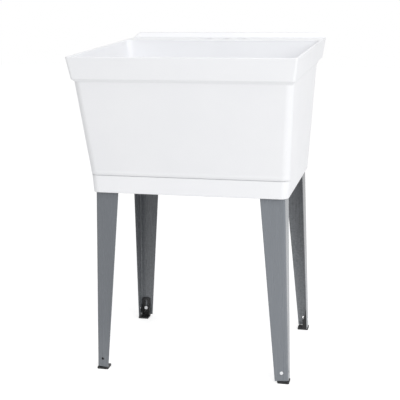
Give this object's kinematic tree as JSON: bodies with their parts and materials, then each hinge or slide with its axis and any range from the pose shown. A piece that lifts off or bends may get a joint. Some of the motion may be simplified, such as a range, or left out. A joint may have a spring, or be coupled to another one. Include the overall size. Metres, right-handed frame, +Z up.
{
  "type": "utility laundry sink",
  "caption": "Free-standing moulded laundry tub with a deep tapered basin, a faucet deck, a lift-out drain stopper and tapered steel legs with sliding levelling shoes.",
  "frame": {"origin": "on the floor under the middle of the rim", "axes": "+X to the right, +Y to the wall side (the deck), -Y to the user, +Z up"},
  "size_m": [0.581, 0.597, 0.868],
  "materials": {
    "tub_plastic": "white moulded polypropylene, low gloss",
    "leg_paint": "grey baked enamel on pressed steel",
    "shoe_plastic": "black moulded nylon",
    "zinc": "bright zinc plate",
    "fitting_plastic": "white moulded polypropylene",
    "stopper_plastic": "white moulded plastic",
    "seal_plastic": "soft translucent polyethylene",
    "fibre": "pressed fibre",
    "rubber": "black rubber"
  },
  "bodies": {
    "sink": {"tub": "tub_plastic", "leg_front_left": "leg_paint", "leg_front_right": "leg_paint", "leg_rear_right": "leg_paint", "leg_rear_left": "leg_paint", "leveller_screws": "zinc", "leveller_nuts": "zinc", "leg_fixing_screws": "zinc", "drain_body": "fitting_plastic", "drain_gasket": "rubber", "drain_friction_washer": "fibre", "drain_locknut": "fitting_plastic", "slip_nut": "fitting_plastic", "slip_washer": "seal_plastic"},
    "front_left_foot": {"leveller_front_left": "shoe_plastic"},
    "front_right_foot": {"leveller_front_right": "shoe_plastic"},
    "rear_right_foot": {"leveller_rear_right": "shoe_plastic"},
    "rear_left_foot": {"leveller_rear_left": "shoe_plastic"},
    "stopper": {"drain_stopper": "stopper_plastic", "stopper_seal": "rubber"}
  },
  "joints": [
    {"name": "front_left_foot_slide", "type": "slide", "parent": "sink", "child": "front_left_foot", "axis": [-0.0252, -0.0262, -0.9993], "range_m": [0, 0.02]},
    {"name": "front_right_foot_slide", "type": "slide", "parent": "sink", "child": "front_right_foot", "axis": [0.0252, -0.0262, -0.9993], "range_m": [0, 0.02]},
    {"name": "rear_right_foot_slide", "type": "slide", "parent": "sink", "child": "rear_right_foot", "axis": [0.0252, 0.0262, -0.9993], "range_m": [0, 0.02]},
    {"name": "rear_left_foot_slide", "type": "slide", "parent": "sink", "child": "rear_left_foot", "axis": [-0.0252, 0.0262, -0.9993], "range_m": [0, 0.02]},
    {"name": "stopper_lift", "type": "slide", "parent": "sink", "child": "stopper", "axis": [0, 0, 1], "range_m": [0, 0.1]}
  ]
}
